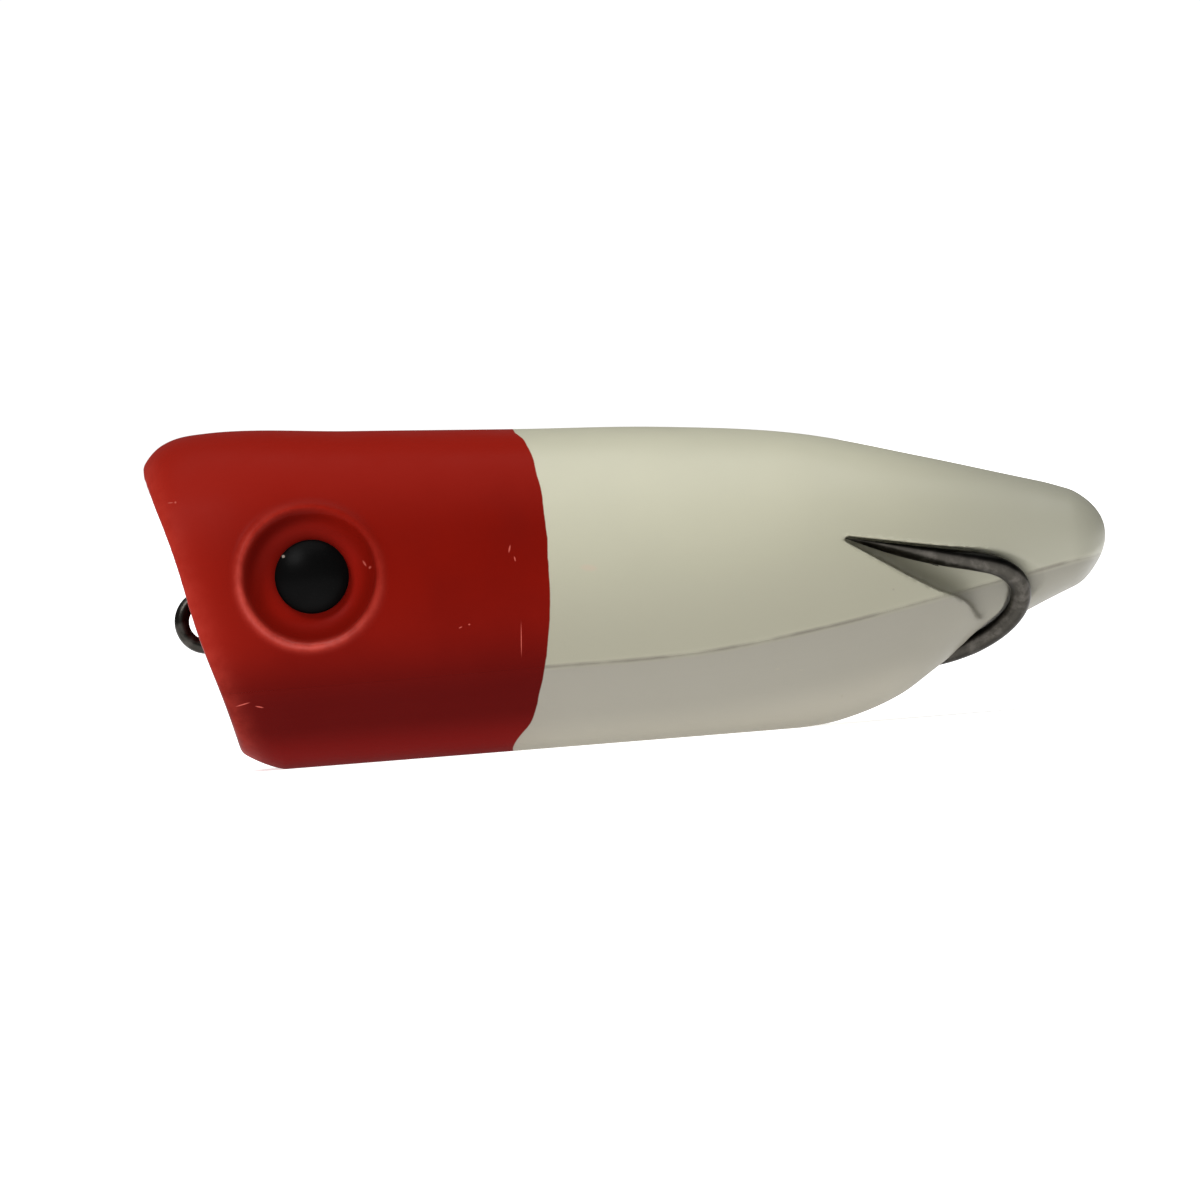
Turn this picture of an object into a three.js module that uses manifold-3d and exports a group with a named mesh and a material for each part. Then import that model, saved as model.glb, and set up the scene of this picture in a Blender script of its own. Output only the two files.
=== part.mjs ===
// A weedless topwater popper: a soft hollow body in two bonded halves round a one-piece double hook.
// Units are millimetres. X runs from nose to tail, Y to the lure's right, Z up.
// The origin is on the flat of the belly, under the middle of the length.
import * as THREE from "three";
import { mergeVertices } from "three/addons/utils/BufferGeometryUtils.js";
import Module from "manifold-3d";

const wasm = await Module();
wasm.setup();

const { degToRad } = THREE.MathUtils;
const SIDES = { left: -1, right: 1 };

// Body outline: each list is (x, value) down the length, and a smooth line runs through it.
const BACK_HEIGHT = [
  [-33.2, 18.6],
  [-32.3, 20.75],
  [-31.5, 21.85],
  [-30.3, 22.6],
  [-27.9, 22.96],
  [-18, 22.35],
  [-7, 21.6],
  [3, 20.95],
  [12.2, 19.75],
  [20.2, 17.6],
  [28, 15.3],
  [32.3, 14.1],
];
const BELLY_HEIGHT = [
  [-29, 3.2],
  [-27.1, 1.4],
  [-24.2, 0],
  [10.6, 0],
  [13.4, 0.3],
  [17.6, 1.7],
  [20, 3.2],
  [22.3, 4.7],
  [24.5, 5.75],
  [26.5, 6.6],
  [28.5, 7.45],
  [30.4, 8.2],
  [32.3, 8.9],
];
const SEAM_HEIGHT = [
  [-33.2, 5.4],
  [-5.8, 5.5],
  [4.5, 5.65],
  [12.9, 6.65],
  [20, 7.9],
  [27, 9.2],
  [32.3, 10],
];
const HALF_WIDTH = [
  [-33.2, 8.2],
  [-31, 9.1],
  [-28.5, 9.75],
  [-26, 10.2],
  [-20, 10.6],
  [-10, 10.8],
  [2, 10.6],
  [10, 9.9],
  [14.6, 9.1],
  [18, 8.2],
  [22, 6.9],
  [25, 5.9],
  [28, 5.1],
  [32.3, 4.4],
];
// Half-width of the flat keel strip, as a share of the half-width of the body.
const KEEL_SHARE = [
  [-33.2, 0.5],
  [10, 0.5],
  [20, 0.3],
  [27, 0.12],
  [32.3, 0.12],
];
const NOSE_BLANK = -33.2; // the blank starts ahead of the lip, and the rim cut trims it
const STERN_START = 16;
const STERN_END = 27;
const TAIL_TIP = 32.25;
const TAIL_ROUND = 2.4; // length over which the tail end rounds off
const CHINE_SHARE = 0.96; // half-width at the seam, as a share of the greatest

// Shell walls, the seam between the halves, and the air chamber inside.
const SEAM_GAP = 0.3;
const WALL = 1.5;
const SIDE_WALL = [
  [-23, 3.8],
  [-17, 3.6],
  [-13, 1.6],
  [8, 1.6],
  [14.5, 4.4],
  [17.5, 4.7],
];
const CHAMBER_NOSE = -22.6;
const CHAMBER_STERN = 17.5;
const CHAMBER_ROUND = 3;

// Popping cup: its rim leans forward, and the dish is half an ellipsoid on the plane of the rim.
const RIM_LEAN = degToRad(15);
const RIM_FOOT = -26.73; // where the plane of the rim meets the belly plane
const CUP_MIDDLE = 12; // distance of the dish's middle from there, up the rim
const CUP_DEPTH = 4.9;
const CUP_HALF_WIDTH = 8.6;
const CUP_HALF_HEIGHT = 9.3;

// Eye sockets and the domed pupils in them.
const EYE_X = -21.45;
const EYE_Z = 12.9;
const EYE_Y = 10.15;
const EYE_TILT = degToRad(4);
const SOCKET_DEPTH = 1.9;
// Bowl of the socket, from the edge of its flat floor outward, as (radius, height over the flank).
const SOCKET_BOWL = [
  [2.75, -SOCKET_DEPTH],
  [3.35, -1.7],
  [3.85, -1.3],
  [4.2, -0.8],
  [4.42, -0.3],
  [4.55, 0.2],
  [4.65, 4],
];
const PUPIL_RADIUS = 2.5;
const PUPIL_EDGE = 0.35;
const PUPIL_HEIGHT = 1.15;
const PUPIL_AFT = 0.15; // how far each pupil sits aft of its socket's middle
const GLUE_LINE = 0.1;

// Double hook, in its own frame: x along the shanks from the middle of the eye, z up, y outward.
const EYE_CENTRE = new THREE.Vector3(-28.7, 0, 10.3);
const SHANK_DROP = degToRad(7.72);
const WIRE_RADIUS = 0.5;
const SHANK_OFFSET = 0.6; // each shank's distance from the middle plane
const EYE_LOOP_RADIUS = 1.68;
const NECK_ANGLE = degToRad(38);
const NECK_MIDDLE = { along: 2.35, height: 0.25 };
const NECK_LENGTH = 3.6;
const SHANK_LENGTH = 49.1;
const PRONG_TILT = degToRad(38); // each prong's plane leans out from the vertical
const FORGED_WIDE = 0.7;
const FORGED_THIN = 0.56;
// Bezier line of the bend as (along, height), from the leg that leaves the shank to the spear.
const BEND = [
  [51.62, 1.62],
  [55.74, 4.45],
  [55.56, 8.14],
  [52.2, 8.66],
];
const POINT = { along: 42.6, height: 10.16 };
const TAPER = 8.9; // length of the spear that narrows to the point
const BARB_FROM_POINT = 6.2;
const BARB_LENGTH = 1.6;
const BARB_RADIUS = 0.32;
const BARB_ANGLE = degToRad(20);
const HOOK_TRAVEL = 1.5; // how far the hook can slide aft before its eye meets the cup
const HOOK_ROOM = 0.35; // clearance round the prongs

// Pocket in each flank that hides the spear, as an outline in x and z.
const POCKET = [
  [14.2, 12.75],
  [23, 11.1],
  [25, 10.4],
  [26.3, 9.1],
  [26.4, 7.2],
  [25.4, 5.7],
  [23.9, 6.1],
  [23.2, 6.45],
  [22.95, 6.95],
  [22.65, 7.45],
  [21.9, 7.95],
  [20.6, 8.5],
  [18.6, 9.7],
];
const POCKET_ROOM = 0.3; // between the spear and the pocket's inner wall
const POCKET_LEAN = degToRad(21); // of the inner wall, outward from the vertical
const POCKET_HEIGHT = 9.4; // where the spear passes the inner wall, in the plane of the prong

// Keel weight, cast round the shanks.
const WEIGHT_ALONG = 32;
const WEIGHT_DROP = 0.9;
const WEIGHT_HALF = new THREE.Vector3(8, 4.6, 2.9);

const BEYOND = 40; // reach of the cutting blocks past the body

// ---- Helpers ----

// A smooth line through (x, value) pairs, read as a function of x.
function lineThrough(pairs) {
  const stations = pairs.map(([x]) => x);
  const values = pairs.map(([, value]) => value);
  const line = new THREE.CubicInterpolant(stations, values, 1);
  return (x) => line.evaluate(x)[0];
}

const backAt = lineThrough(BACK_HEIGHT);
const bellyLine = lineThrough(BELLY_HEIGHT);
const bellyAt = (x) => Math.max(0, bellyLine(x));
const seamAt = lineThrough(SEAM_HEIGHT);
const halfWidthAt = lineThrough(HALF_WIDTH);
const keelShareAt = lineThrough(KEEL_SHARE);
const sideWallAt = lineThrough(SIDE_WALL);
const bendHandles = BEND.map(([along, height]) => new THREE.Vector2(along, height));
const bendLine = new THREE.CubicBezierCurve(...bendHandles);

// A closed skin over a row of rings that hold the same number of points, with a fan over each end.
function loft(rings) {
  const count = rings[0].length;
  const middle = (ring) => ring.reduce((sum, p) => sum.add(p), new THREE.Vector3()).divideScalar(count);
  const points = [...rings.flat(), middle(rings[0]), middle(rings.at(-1))];
  const lastRing = (rings.length - 1) * count;
  const index = [];
  for (let j = 0; j < count; j++) {
    const next = (j + 1) % count;
    for (let i = 0; i < lastRing; i += count) {
      index.push(i + j, i + next, i + count + next);
      index.push(i + j, i + count + next, i + count + j);
    }
    index.push(points.length - 2, next, j);
    index.push(points.length - 1, lastRing + j, lastRing + next);
  }
  return new THREE.BufferGeometry().setFromPoints(points).setIndex(index);
}

function toSolid(geometry) {
  const bare = geometry.clone().deleteAttribute("normal").deleteAttribute("uv");
  const merged = mergeVertices(bare, 1e-4);
  return new wasm.Manifold(
    new wasm.Mesh({
      numProp: 3,
      vertProperties: merged.attributes.position.array,
      triVerts: new Uint32Array(merged.index.array),
    }),
  );
}

function toGeometry(solid) {
  const mesh = solid.getMesh();
  const positions = new THREE.BufferAttribute(mesh.vertProperties, mesh.numProp);
  const indexed = new THREE.BufferGeometry().setAttribute("position", positions);
  const flat = indexed.setIndex(new THREE.BufferAttribute(mesh.triVerts, 1)).toNonIndexed();
  flat.computeVertexNormals();
  return flat;
}

// The placement of the hook's own frame in the lure, after it has slid aft by the given distance.
function hookPlacement(slid = 0) {
  const turn = new THREE.Matrix4().makeRotationY(SHANK_DROP);
  const move = new THREE.Matrix4().makeTranslation(EYE_CENTRE.x, EYE_CENTRE.y, EYE_CENTRE.z);
  return move.multiply(turn).multiply(new THREE.Matrix4().makeTranslation(slid, 0, 0));
}

// ---- Body blank ----

// One half of a cross-section, from the keel round the chine to the back, as (y, z).
function halfSection(x, sideInset, inset) {
  const half = halfWidthAt(x) - sideInset;
  const top = backAt(x) - inset;
  const keel = bellyAt(x) + inset;
  const seam = seamAt(x);
  const flat = half * keelShareAt(x);
  const chine = half * CHINE_SHARE;
  const rise = top - seam;
  return new THREE.Path()
    .moveTo(0, keel)
    .lineTo(flat, keel)
    .quadraticCurveTo(flat + 0.75 * (chine - flat), keel + 0.2 * (seam - keel), chine, seam)
    .bezierCurveTo(half * 1.1, seam + rise * 0.58, half * 0.82, top, 0, top)
    .getPoints(7);
}

// The body between two stations, drawn in by the insets and narrowed by shrink(x).
function bodyLoft(stations, sideInset, inset, shrink) {
  const rings = stations.map((x) => {
    const half = halfSection(x, sideInset(x), inset);
    const middle = (half[0].y + half.at(-1).y) / 2;
    const outline = [...half, ...half.slice(1, -1).reverse().map((p) => new THREE.Vector2(-p.x, p.y))];
    const scale = shrink(x);
    return outline.map((p) => new THREE.Vector3(x, p.x * scale, middle + (p.y - middle) * scale));
  });
  return toSolid(loft(rings));
}

// Evenly spaced stations from one x to another.
function evenly(from, to, steps) {
  return Array.from({ length: steps }, (_, i) => from + ((to - from) * i) / steps);
}

// Stations that crowd together towards a rounded end, in the direction of the sign.
function roundedEnd(end, length, direction) {
  const angles = [0, 20, 38, 54, 68, 80].map(degToRad);
  return angles.map((angle) => end - direction * length * (1 - Math.sin(angle)));
}

const ellipseShrink = (distance, length) => Math.sqrt(1 - Math.min(1, Math.max(0, distance / length)) ** 2);

function bodyBlank() {
  const tailStart = TAIL_TIP - TAIL_ROUND;
  const stations = [
    ...evenly(NOSE_BLANK, -24, 5),
    ...evenly(-24, STERN_START, 14),
    ...evenly(STERN_START, STERN_END, 9),
    STERN_END,
    ...roundedEnd(TAIL_TIP, TAIL_ROUND, 1),
  ];
  return bodyLoft(stations, () => 0, 0, (x) => ellipseShrink(x - tailStart, TAIL_ROUND));
}

function airChamber() {
  const noseStart = CHAMBER_NOSE + CHAMBER_ROUND;
  const sternStart = CHAMBER_STERN - CHAMBER_ROUND;
  const stations = [
    ...roundedEnd(CHAMBER_NOSE, CHAMBER_ROUND, -1).reverse(),
    ...evenly(noseStart + 2, sternStart, 9),
    ...roundedEnd(CHAMBER_STERN, CHAMBER_ROUND, 1),
  ];
  const shrink = (x) => {
    const beyond = Math.max(noseStart - x, x - sternStart);
    return ellipseShrink(beyond, CHAMBER_ROUND);
  };
  return bodyLoft(stations, sideWallAt, WALL, shrink);
}

// ---- Cutting tools for the body ----

// Everything ahead of the leaning plane of the rim, and the dish behind it.
function cupCutter() {
  const block = new THREE.BoxGeometry(BEYOND, BEYOND, 2 * BEYOND).translate(-BEYOND / 2, 0, 0);
  const dish = new THREE.SphereGeometry(1, 36, 20)
    .scale(CUP_DEPTH, CUP_HALF_WIDTH, CUP_HALF_HEIGHT)
    .translate(0, 0, CUP_MIDDLE);
  const placement = new THREE.Matrix4()
    .makeTranslation(RIM_FOOT, 0, 0)
    .multiply(new THREE.Matrix4().makeRotationY(-RIM_LEAN));
  return toSolid(block.applyMatrix4(placement)).add(toSolid(dish.applyMatrix4(placement)));
}

// The frame of one eye: its z axis looks out of the socket, and its origin is on the flank.
function eyePlacement(side) {
  const look = new THREE.Matrix4().makeRotationX(-side * (Math.PI / 2 - EYE_TILT));
  return new THREE.Matrix4().makeTranslation(EYE_X, side * EYE_Y, EYE_Z).multiply(look);
}

function socketCutter(side) {
  const wall = SOCKET_BOWL.map(([radius, height]) => new THREE.Vector2(radius, height));
  const outline = [new THREE.Vector2(0, wall[0].y), ...wall, new THREE.Vector2(0, wall.at(-1).y)];
  const bowl = new THREE.LatheGeometry(outline, 32).rotateX(Math.PI / 2);
  return toSolid(bowl.applyMatrix4(eyePlacement(side)));
}

// The pocket's outline pushed outward from an inner wall that leans out just inside the spear.
function pocketCutter(side) {
  const outline = new THREE.Shape(POCKET.map(([x, z]) => new THREE.Vector2(x, z)));
  const prism = new THREE.ExtrudeGeometry(outline, { depth: BEYOND, bevelEnabled: false })
    .rotateX(Math.PI / 2)
    .translate(0, BEYOND, 0)
    .applyMatrix4(hookPlacement().invert());
  const lean = new THREE.Matrix4().makeShear(0, 0, 0, 0, 0, Math.tan(POCKET_LEAN));
  const spear = wireStation(1, 0, POCKET_HEIGHT, SHANK_OFFSET, PRONG_TILT).centre;
  const wall = spear.y - (FORGED_THIN + POCKET_ROOM) / Math.cos(PRONG_TILT);
  prism.applyMatrix4(lean).translate(0, wall - spear.z * Math.tan(POCKET_LEAN), 0);
  prism.applyMatrix4(hookPlacement());
  const solid = toSolid(prism);
  return side < 0 ? solid.mirror([0, 1, 0]) : solid;
}

// A slot with round sides along the twin shanks, with room round them.
function shankPassage(from, to, room) {
  const reach = WIRE_RADIUS + room;
  const outline = new THREE.Shape()
    .absarc(0, SHANK_OFFSET, reach, 0, Math.PI)
    .absarc(0, -SHANK_OFFSET, reach, Math.PI, 2 * Math.PI)
    .closePath();
  return new THREE.ExtrudeGeometry(outline, { depth: to - from, bevelEnabled: false, curveSegments: 6 })
    .rotateY(Math.PI / 2)
    .translate(from, 0, 0);
}

// All that lies above the seam, or below it, less half of the gap between the halves.
function sideOfSeam(direction) {
  const offset = (direction * SEAM_GAP) / 2;
  const edge = evenly(-BEYOND, BEYOND, 40).map((x) => new THREE.Vector2(x, seamAt(x) + offset));
  const far = direction * BEYOND;
  const farEdge = [new THREE.Vector2(BEYOND, far), new THREE.Vector2(-BEYOND, far)];
  const outline = new THREE.Shape([...edge, ...farEdge]);
  const block = new THREE.ExtrudeGeometry(outline, { depth: BEYOND, bevelEnabled: false });
  return toSolid(block.rotateX(Math.PI / 2).translate(0, BEYOND / 2, 0));
}

// ---- Double hook ----

// One station of the wire: its place, the half-sizes of its section, and the way its thin side faces.
// Height is measured in the plane of the prong, which leans out from the vertical by the tilt.
function wireStation(side, along, height, offset, tilt, wide, thin) {
  return {
    centre: new THREE.Vector3(along, side * (offset + height * Math.sin(tilt)), height * Math.cos(tilt)),
    across: new THREE.Vector3(0, Math.cos(tilt), -side * Math.sin(tilt)),
    wide,
    thin,
  };
}

// The wire's loop and neck on one side, from the front of the eye to the start of the shank.
// The right wire takes the top of the eye, the left wire the bottom.
function eyeHalf(side) {
  const round = (along, height, offset) =>
    wireStation(side, along, height, offset, 0, WIRE_RADIUS, WIRE_RADIUS);
  const steps = 9;
  const loop = Array.from({ length: steps + 1 }, (_, i) => {
    const share = i / steps;
    const angle = side * (Math.PI - share * (Math.PI - NECK_ANGLE));
    return round(EYE_LOOP_RADIUS * Math.cos(angle), EYE_LOOP_RADIUS * Math.sin(angle), share * SHANK_OFFSET);
  });
  const neck = round(NECK_MIDDLE.along, side * NECK_MIDDLE.height, SHANK_OFFSET);
  return [...loop, neck, round(NECK_LENGTH, 0, SHANK_OFFSET)];
}

// The wire aft of the shank on one side: a straight leg, the round bend and the tapering spear.
function prong(side, room = 0) {
  const place = (along, height, wide, thin) =>
    wireStation(side, along, height, SHANK_OFFSET, PRONG_TILT, wide + room, thin + room);
  const leg = [
    place(SHANK_LENGTH - 1.2, 0, WIRE_RADIUS, WIRE_RADIUS),
    place(SHANK_LENGTH - 0.2, 0.12, WIRE_RADIUS, WIRE_RADIUS),
    place(SHANK_LENGTH + 0.8, 0.66, WIRE_RADIUS + 0.1, WIRE_RADIUS),
  ];
  const bend = bendLine.getPoints(12).map(({ x, y }) => place(x, y, FORGED_WIDE, FORGED_THIN));
  const start = bendLine.getPoint(1);
  const spearLength = Math.hypot(start.x - POINT.along, POINT.height - start.y);
  const tip = room > 0 ? -room : 0.05;
  const spear = [TAPER, TAPER * 0.7, TAPER * 0.4, TAPER * 0.15, tip].map((left) => {
    const share = 1 - left / spearLength;
    const along = THREE.MathUtils.lerp(start.x, POINT.along, share);
    const height = THREE.MathUtils.lerp(start.y, POINT.height, share);
    return place(along, height, (FORGED_WIDE * left) / TAPER, (FORGED_THIN * left) / TAPER);
  });
  return [...leg, ...bend, ...spear];
}

// The wire's skin over its stations, with a ring square to the wire at each.
function wireGeometry(stations) {
  const sides = 10;
  const rings = stations.map((station, i) => {
    const before = stations[Math.max(0, i - 1)].centre;
    const after = stations[Math.min(stations.length - 1, i + 1)].centre;
    const run = after.clone().sub(before).normalize();
    const thin = station.across.clone().addScaledVector(run, -station.across.dot(run)).normalize();
    const wide = thin.clone().cross(run);
    return Array.from({ length: sides }, (_, j) => {
      const angle = (2 * Math.PI * j) / sides;
      return station.centre
        .clone()
        .addScaledVector(wide, station.wide * Math.cos(angle))
        .addScaledVector(thin, station.thin * Math.sin(angle));
    });
  });
  return loft(rings);
}

// A small cut-up tongue on the inner side of the spear, pointing back to the bend.
function barb(side) {
  const { x, y } = bendLine.getPoint(1);
  const spearSlope = Math.atan2(y - POINT.height, x - POINT.along);
  const cone = new THREE.ConeGeometry(BARB_RADIUS, BARB_LENGTH, 6).rotateZ(-Math.PI / 2);
  cone.rotateZ(spearSlope - BARB_ANGLE).translate(
    POINT.along + BARB_FROM_POINT * Math.cos(spearSlope),
    POINT.height + BARB_FROM_POINT * Math.sin(spearSlope) - 0.35,
    0,
  );
  // The cone is drawn in the plane of along and height, which stands upright and then leans out.
  cone.rotateX(Math.PI / 2).rotateX(-side * PRONG_TILT).translate(0, side * SHANK_OFFSET, 0);
  return toSolid(cone);
}

function doubleHook() {
  const half = (side) => [...eyeHalf(side), ...prong(side)];
  const wire = [...half(SIDES.left).reverse(), ...half(SIDES.right).slice(1)];
  return toSolid(wireGeometry(wire)).add(barb(SIDES.left)).add(barb(SIDES.right));
}

// The space that one prong sweeps as the hook slides, with room round it.
function prongRoom(side) {
  const fat = wireGeometry(prong(side, HOOK_ROOM));
  const places = [0, HOOK_TRAVEL / 2, HOOK_TRAVEL];
  return places
    .map((slid) => toSolid(fat.clone().applyMatrix4(hookPlacement(slid))))
    .reduce((all, one) => all.add(one));
}

function keelWeight() {
  const egg = new THREE.SphereGeometry(1, 30, 16)
    .scale(WEIGHT_HALF.x, WEIGHT_HALF.y, WEIGHT_HALF.z)
    .translate(WEIGHT_ALONG, 0, -WEIGHT_DROP);
  return toSolid(egg).subtract(toSolid(shankPassage(WEIGHT_ALONG - 12, WEIGHT_ALONG + 12, 0.3)));
}

// ---- Eyes ----

function pupilGeometry() {
  const ball = (PUPIL_RADIUS ** 2 + (PUPIL_HEIGHT - PUPIL_EDGE) ** 2) / (2 * (PUPIL_HEIGHT - PUPIL_EDGE));
  const spread = Math.asin(PUPIL_RADIUS / ball);
  const profile = [new THREE.Vector2(0, 0), new THREE.Vector2(PUPIL_RADIUS, 0)];
  for (let i = 0; i <= 5; i++) {
    const angle = spread * (1 - i / 5);
    const height = PUPIL_HEIGHT - ball * (1 - Math.cos(angle));
    profile.push(new THREE.Vector2(ball * Math.sin(angle), height));
  }
  profile.at(-1).x = 0;
  return new THREE.LatheGeometry(profile, 24).rotateX(Math.PI / 2);
}

// ---- Body halves ----

// The largest body of a solid, without the shavings that crossing cuts leave loose.
function withoutShavings(solid) {
  return solid.decompose().reduce((kept, body) => (body.volume() > kept.volume() ? body : kept));
}

function hullWithOpenings() {
  const sides = Object.values(SIDES);
  const passage = shankPassage(0, SHANK_LENGTH + 0.5, HOOK_ROOM).applyMatrix4(hookPlacement());
  const cutters = [cupCutter(), airChamber(), toSolid(passage)];
  cutters.push(...sides.map(socketCutter), ...sides.map(pocketCutter), ...sides.map(prongRoom));
  return cutters.reduce((body, cutter) => body.subtract(cutter), bodyBlank());
}

// ---- Assembly ----

function named(name, geometry, color, roughness, metalness = 0) {
  const material = new THREE.MeshStandardMaterial({ color, roughness, metalness });
  const mesh = new THREE.Mesh(geometry, material);
  mesh.name = name;
  return mesh;
}

const popper = new THREE.Group();

const hull = hullWithOpenings();
const upperShell = withoutShavings(hull.intersect(sideOfSeam(1)));
const bellyShell = withoutShavings(hull.intersect(sideOfSeam(-1)));
popper.add(named("upper_shell", toGeometry(upperShell), 0xb9b79c, 0.45));
popper.add(named("belly_shell", toGeometry(bellyShell), 0xa9a798, 0.45));

for (const [name, side] of Object.entries(SIDES)) {
  const pupil = named(name + "_pupil", pupilGeometry(), 0x0c0c0c, 0.3);
  pupil.geometry.translate(PUPIL_AFT, 0, GLUE_LINE - SOCKET_DEPTH);
  pupil.applyMatrix4(eyePlacement(side));
  popper.add(pupil);
}

const hookAssembly = new THREE.Group();
hookAssembly.position.copy(EYE_CENTRE);
hookAssembly.rotation.y = SHANK_DROP;
hookAssembly.add(named("double_hook", toGeometry(doubleHook()), 0x3a3631, 0.35, 0.9));
hookAssembly.add(named("keel_weight", toGeometry(keelWeight()), 0x6d6f72, 0.6, 0.7));
popper.add(hookAssembly);

export default popper;
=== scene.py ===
"""A weedless topwater popper: soft two-part hollow body with a red head, over a one-piece double hook.

The CAD frame gives the bodies, the joint and the places. The shapes here are modelled in millimetres in the
frame's own axes (X from nose to tail, Y to the lure's right, Z up) and turned into metres as meshes are made.
"""

import math
from bisect import bisect_right

import bmesh
import bpy
from mathutils import Matrix, Vector
from mathutils.bvhtree import BVHTree


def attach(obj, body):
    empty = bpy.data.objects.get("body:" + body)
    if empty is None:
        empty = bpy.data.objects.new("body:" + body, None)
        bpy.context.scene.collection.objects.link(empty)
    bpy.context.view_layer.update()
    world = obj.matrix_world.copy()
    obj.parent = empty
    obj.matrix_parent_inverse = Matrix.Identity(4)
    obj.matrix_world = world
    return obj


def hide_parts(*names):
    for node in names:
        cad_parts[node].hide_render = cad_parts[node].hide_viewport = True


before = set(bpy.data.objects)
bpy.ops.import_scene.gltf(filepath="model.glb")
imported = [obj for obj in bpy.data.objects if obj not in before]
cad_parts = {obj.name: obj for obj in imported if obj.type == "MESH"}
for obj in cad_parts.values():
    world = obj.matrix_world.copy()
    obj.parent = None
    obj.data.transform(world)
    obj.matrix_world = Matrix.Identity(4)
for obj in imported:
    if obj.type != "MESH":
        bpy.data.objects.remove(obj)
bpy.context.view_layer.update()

MM = 0.001
SIDES = {"left": -1, "right": 1}

# Body outline: (x, value) pairs down the length, with a smooth line through them.
BACK_HEIGHT = [
    (-33.2, 18.6),
    (-32.3, 20.75),
    (-31.5, 21.85),
    (-30.3, 22.6),
    (-27.9, 22.96),
    (-18, 22.35),
    (-7, 21.6),
    (3, 20.95),
    (12.2, 19.75),
    (20.2, 17.6),
    (28, 15.3),
    (32.3, 14.1),
]
BELLY_HEIGHT = [
    (-29, 3.2),
    (-27.1, 1.4),
    (-24.2, 0),
    (10.6, 0),
    (13.4, 0.3),
    (17.6, 1.7),
    (20, 3.2),
    (22.3, 4.7),
    (24.5, 5.75),
    (26.5, 6.6),
    (28.5, 7.45),
    (30.4, 8.2),
    (32.3, 8.9),
]
SEAM_HEIGHT = [
    (-33.2, 5.4),
    (-5.8, 5.5),
    (4.5, 5.65),
    (12.9, 6.65),
    (20, 7.9),
    (27, 9.2),
    (32.3, 10),
]
HALF_WIDTH = [
    (-33.2, 8.2),
    (-31, 9.1),
    (-28.5, 9.75),
    (-26, 10.2),
    (-20, 10.6),
    (-10, 10.8),
    (2, 10.6),
    (10, 9.9),
    (14.6, 9.1),
    (18, 8.2),
    (22, 6.9),
    (25, 5.9),
    (28, 5.1),
    (32.3, 4.4),
]

# Width of the flat of the belly, as a share of the half-width.
KEEL_SHARE = [(-33.2, 0.5), (10, 0.5), (20, 0.3), (27, 0.12), (32.3, 0.12)]
NOSE_BLANK = -33.2
TAIL_TIP = 32.25
TAIL_ROUND = 2.4

# Cross-section, in shares of its half-width and height: how far out the chine is, and the points that the
# curves of the bilge, the side and the shoulder are drawn towards.
CHINE_SHARE = 0.96
BILGE_PULL = (0.75, 0.2)
SIDE_PULL = (1.1, 0.58)
SHOULDER_PULL = 0.82

# Walls, seam and air chamber. The side wall is thicker round the eyes and the pockets, as (x, thickness).
WALL = 1.5
SIDE_WALL = [(-23, 3.8), (-17, 3.6), (-13, 1.6), (8, 1.6), (14.5, 4.4), (17.5, 4.7)]
CHAMBER_NOSE = -22.6
CHAMBER_STERN = 17.5
CHAMBER_ROUND = 3
SEAM_GAP = 0.004
SEAM_GROOVE = 0.05
SEAM_GROOVE_WIDTH = 0.3

# Popping cup: the rim leans back from its foot on the belly line, with a slight wave, round an oval dish.
RIM_LEAN = math.radians(15)
RIM_FOOT = -26.73
RIM_WAVE = 0.08
RIM_WAVE_LENGTH = 11.5
RIM_WAVE_START = 4.4
CUP_MIDDLE = 12
CUP_DEPTH = 4.9
CUP_HALF_WIDTH = 8.6
CUP_HALF_HEIGHT = 9.3

# Eye sockets: the bowl from the edge of its flat floor outward, as (radius, height over the flank).
EYE = Vector((-21.45, 10.15, 12.9))
EYE_TILT = math.radians(4)
SOCKET_DEPTH = 1.9
SOCKET_BOWL = [
    (2.75, -1.9),
    (3.35, -1.7),
    (3.85, -1.3),
    (4.2, -0.8),
    (4.42, -0.3),
    (4.55, 0.2),
    (4.65, 4),
]
LIP_RADIUS = 4.8
LIP_WIDTH = 0.3
LIP_HEIGHT = 0.26
LIP_BOTTOM = -1.2

# Pupils: domed discs on the sockets' floors, with a rounded foot as (radius past the edge, height).
PUPIL_RADIUS = 2.5
PUPIL_HEIGHT = 1.15
PUPIL_EDGE = 0.35
PUPIL_FOOT = [(-0.12, 0), (-0.03, 0.05), (0, 0.14)]
PUPIL_ROLL = 0.08
DOME_SHARE = 0.985
PUPIL_AFT = 0.15
GLUE_LINE = 0.1

# Double hook, in its own frame: along the shanks from the middle of the eye, up, and out to the side.
# Each prong lies in a plane that leans out by its tilt. The neck, the bend and the point are given as
# (along, height in it).
EYE_CENTRE = Vector((-28.7, 0, 10.3))
SHANK_DROP = math.radians(7.72)
WIRE_RADIUS = 0.5
SHANK_OFFSET = 0.6
EYE_LOOP_RADIUS = 1.68
NECK_ANGLE = math.radians(38)
NECK_PULL = (2.05, 0.4)
NECK_LEVEL = 2.75
NECK_LENGTH = 3.6
SHANK_LENGTH = 49.1
KNEE_REACH = 1.6
KNEE_PULL = 0.1
PRONG_TILT = math.radians(38)
FORGED_WIDE = 0.7
FORGED_THIN = 0.56
BEND = [(51.62, 1.62), (55.74, 4.45), (55.56, 8.14), (52.2, 8.66)]
POINT = (42.6, 10.16)
TAPER = 8.9
POINT_FLAT = 0.02
SPEAR_SWELL = 0.2

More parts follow.
